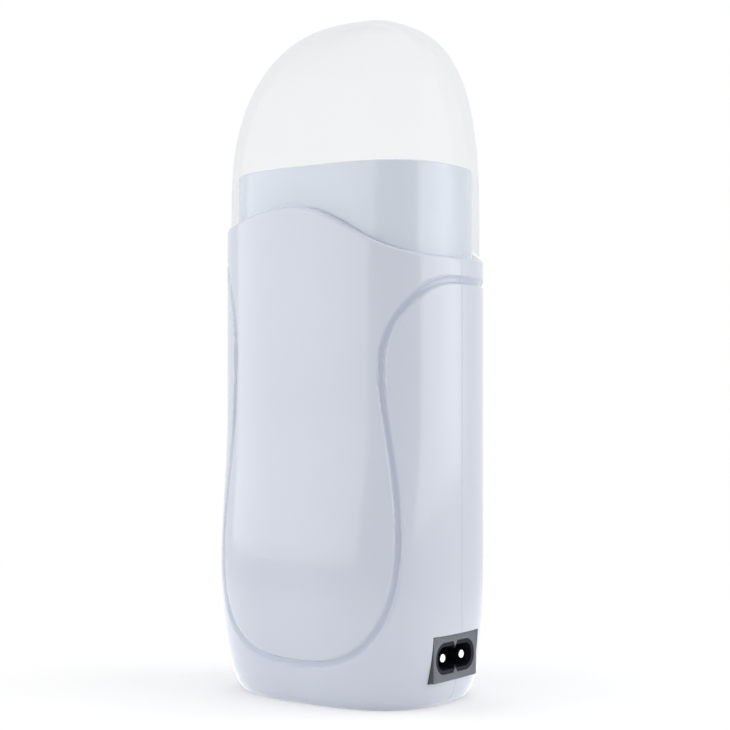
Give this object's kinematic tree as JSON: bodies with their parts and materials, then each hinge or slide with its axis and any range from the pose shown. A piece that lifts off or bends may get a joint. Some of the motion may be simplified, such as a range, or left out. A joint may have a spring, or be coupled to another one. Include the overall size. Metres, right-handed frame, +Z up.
{
  "type": "roll-on wax heater",
  "caption": "Upright hand-held warmer for roll-on wax cartridges, with a heated pocket, a clear domed pull-off cap and a two-pin figure-8 mains inlet low on one narrow side.",
  "frame": {"origin": "on the base plane, at the parting line's middle", "axes": "+Z up through the cap, -Y the wide front face, +X the narrow side with the mains inlet"},
  "size_m": [0.0696, 0.0548, 0.1784],
  "materials": {
    "housing": "glossy pale lavender moulding",
    "collar": "glossy pale moulding",
    "clear": "clear and glossy",
    "aluminium": "satin",
    "film": "amber film",
    "brass": "satin",
    "ceramic": "matt dark ceramic with metallised faces",
    "spring_steel": "bare",
    "fuse_case": "tinned",
    "glass_braid": "woven glass fibre",
    "screw_steel": "zinc plated",
    "grey_frame": "matt grey",
    "black_socket": "matt black",
    "pin_plating": "bright plated",
    "tinned": "tinned",
    "wire_brown": "silicone insulation",
    "wire_blue": "silicone insulation",
    "wire_white": "silicone insulation"
  },
  "bodies": {
    "heater": {"front_shell": "housing", "rear_shell": "housing", "cartridge_sleeve": "collar", "heater_plate": "aluminium", "inner_insulator": "film", "inner_electrode": "brass", "ptc_stones": "ceramic", "outer_electrode": "brass", "outer_insulator": "film", "clamp_bridge": "spring_steel", "thermal_fuse": "fuse_case", "fuse_sleeve": "glass_braid", "fuse_clip": "spring_steel", "plate_screws": "screw_steel", "inlet_bezel": "grey_frame", "inlet_body": "black_socket", "line_pin": "pin_plating", "neutral_pin": "pin_plating", "line_terminal": "tinned", "neutral_terminal": "tinned", "line_wire": "wire_brown", "fuse_wire": "wire_white", "neutral_wire": "wire_blue", "lead_crimps": "tinned", "housing_screws": "screw_steel"},
    "cap": {"clear_cap": "clear"}
  },
  "joints": [
    {"name": "cap_lift", "type": "slide", "parent": "heater", "child": "cap", "axis": [0, 0, 1], "range_m": [0, 0.07]}
  ]
}
